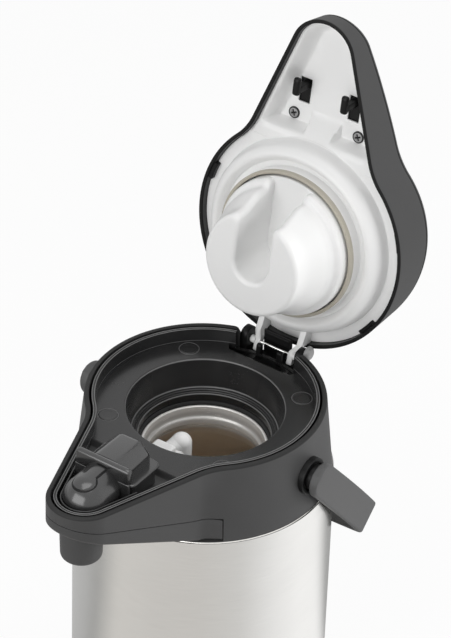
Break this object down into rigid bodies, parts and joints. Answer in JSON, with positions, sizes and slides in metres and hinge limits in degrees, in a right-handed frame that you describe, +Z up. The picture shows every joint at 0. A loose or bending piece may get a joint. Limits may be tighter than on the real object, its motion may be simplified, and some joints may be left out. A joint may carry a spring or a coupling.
{
  "type": "pump vacuum flask",
  "caption": "Free-standing pump vacuum flask with a long pouring nose, hinged pump lid and swinging strap handle, shown open.",
  "frame": {"origin": "centre of the foot pad's underside, on the floor, on the axis of the steel vessel", "axes": "+Z up along the vessel's axis; -Y towards the pouring nose, +Y towards the lid's hinge; the handle's pivots lie along X"},
  "size_m": [0.194, 0.3231, 0.5175],
  "materials": {
    "steel_shell": "brushed round the body",
    "steel_liner": "plain drawn steel, warm tint",
    "grey_body": "fine matte grain",
    "grey_lid": "fine matte grain",
    "grey_handle": "fine matte grain",
    "black_tray": "half gloss",
    "black_gloss": "gloss",
    "black_clip": "plain",
    "white_plastic": "half gloss",
    "clear_plastic": "milky",
    "grey_knob": "plain",
    "bright_steel": "polished",
    "silicone": "soft matte",
    "foot_rubber": "soft matte"
  },
  "bodies": {
    "flask_body": {"outer_shell": "steel_shell", "inner_liner": "steel_liner", "shell_bottom": "steel_shell", "base_cup": "grey_body", "base_pad": "foot_rubber", "collar_shell": "grey_body", "collar_deck": "black_tray", "deck_plugs": "black_tray", "deck_screws": "bright_steel", "neck_gasket": "foot_rubber", "spout_cover": "grey_body", "spout_nozzle": "grey_body", "valve_housing": "black_gloss", "valve_cap": "black_gloss", "outlet_pipe": "clear_plastic", "feed_hose": "clear_plastic", "tube_elbow": "white_plastic", "pump_tube": "clear_plastic", "hinge_bracket": "black_gloss", "hinge_pin": "bright_steel", "hinge_knob": "grey_knob", "handle_pins": "bright_steel"},
    "spill_ball": {"anti_spill_ball": "bright_steel"},
    "handle": {"carry_handle": "grey_handle"},
    "lid": {"lid_shell": "grey_lid", "lid_liner": "white_plastic", "liner_screws": "bright_steel", "liner_clips": "black_clip", "bellows_cup": "white_plastic", "cup_seal": "silicone", "air_valve": "silicone", "bellows": "silicone", "button_spring": "bright_steel", "latch_spring": "bright_steel"},
    "button": {"pump_button": "grey_lid", "push_plate": "white_plastic"},
    "latch": {"latch_hooks": "black_clip", "latch_thumb": "black_gloss"}
  },
  "joints": [
    {"name": "lid_hinge", "type": "hinge", "parent": "flask_body", "child": "lid", "pos_m": [0, 0.08207, 0.2798], "axis": [1, 0, 0], "range_deg": [0, 98.14]},
    {"name": "handle_swing", "type": "hinge", "parent": "flask_body", "child": "handle", "pos_m": [0, 0.001, 0.2605], "axis": [1, 0, 0], "range_deg": [0, 52]},
    {"name": "button_press", "type": "slide", "parent": "lid", "child": "button", "axis": [0, -0.9899, 0.1416], "range_m": [0, 0.025], "stiffness_N_per_m": 300, "springref_m": -0.01, "deforming": ["bellows", "button_spring"]},
    {"name": "latch_slide", "type": "slide", "parent": "lid", "child": "latch", "axis": [0, -0.1416, -0.9899], "range_m": [0, 0.006], "stiffness_N_per_m": 200, "springref_m": -0.005, "deforming": ["latch_spring"]},
    {"name": "ball_float", "type": "slide", "parent": "flask_body", "child": "spill_ball", "axis": [0, 0, 1], "range_m": [0, 0.004]}
  ]
}
